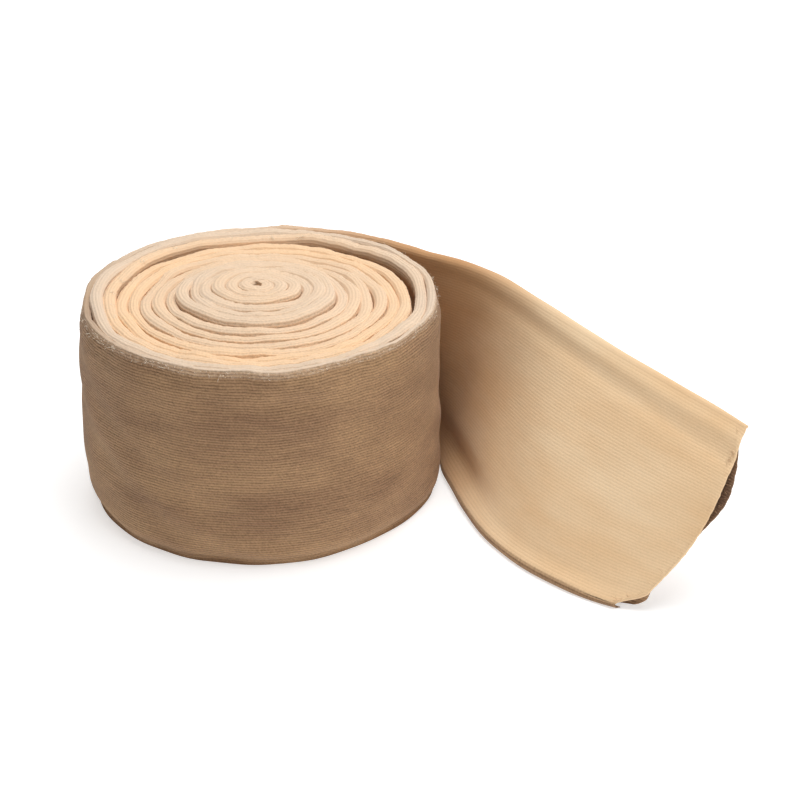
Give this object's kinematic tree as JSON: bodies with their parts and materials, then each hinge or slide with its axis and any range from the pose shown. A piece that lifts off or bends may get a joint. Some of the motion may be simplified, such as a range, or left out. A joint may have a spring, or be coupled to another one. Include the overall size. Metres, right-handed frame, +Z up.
{
  "type": "hand wrap",
  "caption": "Roll of elasticated flat-knitted tubular wrap, standing on end, with a free tail that peels away and a core that pushes out.",
  "frame": {"origin": "on the surface that the roll stands on, under the axis of the roll", "axes": "+Z up along the roll's axis, +X towards the free tail, +Y towards the side where the tail leaves the roll"},
  "size_m": [0.2332, 0.1551, 0.082],
  "materials": {
    "outer_face": "matt flat-knitted face, grey-beige",
    "inner_face": "matt flat-knitted face, warm beige",
    "fold_rim": "matt rounded fold with fine ribs, cream",
    "wound_turns": "matt rounded turns with fine ribs, cream to peach"
  },
  "bodies": {
    "roll": {"turn_06": "wound_turns", "turn_07": "wound_turns", "turn_08": "wound_turns", "turn_09": "wound_turns", "turn_10": "wound_turns", "turn_11": "wound_turns", "turn_12": "wound_turns", "turn_13": "outer_face"},
    "core": {"start_fold": "wound_turns", "turn_01": "wound_turns", "turn_02": "wound_turns", "turn_03": "wound_turns", "turn_04": "wound_turns", "turn_05": "wound_turns"},
    "tail_root": {"root_inner_ply": "inner_face", "root_outer_ply": "outer_face", "root_top_fold": "fold_rim", "root_bottom_fold": "fold_rim"},
    "tail_middle": {"middle_inner_ply": "inner_face", "middle_outer_ply": "outer_face", "middle_top_fold": "fold_rim", "middle_bottom_fold": "fold_rim"},
    "tail_tip": {"tip_inner_ply": "inner_face", "tip_outer_ply": "outer_face", "tip_top_fold": "fold_rim", "tip_bottom_fold": "fold_rim"}
  },
  "joints": [
    {"name": "core_slide", "type": "slide", "parent": "roll", "child": "core", "axis": [0, 0, 1], "range_m": [-0.003, 0.012]},
    {"name": "tail_peel", "type": "hinge", "parent": "roll", "child": "tail_root", "pos_m": [0.03877, 0.05749, 0], "axis": [0, 0, 1], "range_deg": [0, 45]},
    {"name": "tail_flex", "type": "hinge", "parent": "tail_root", "child": "tail_middle", "pos_m": [0.07244, 0.0069, 0.0021], "axis": [0.24, 0.1711, 0.9556], "range_deg": [-20, 0]},
    {"name": "tip_curl", "type": "hinge", "parent": "tail_middle", "child": "tail_tip", "pos_m": [0.09166, -0.04903, 0.0021], "axis": [0.5092, 0.3067, 0.8042], "range_deg": [-50, 0]}
  ]
}
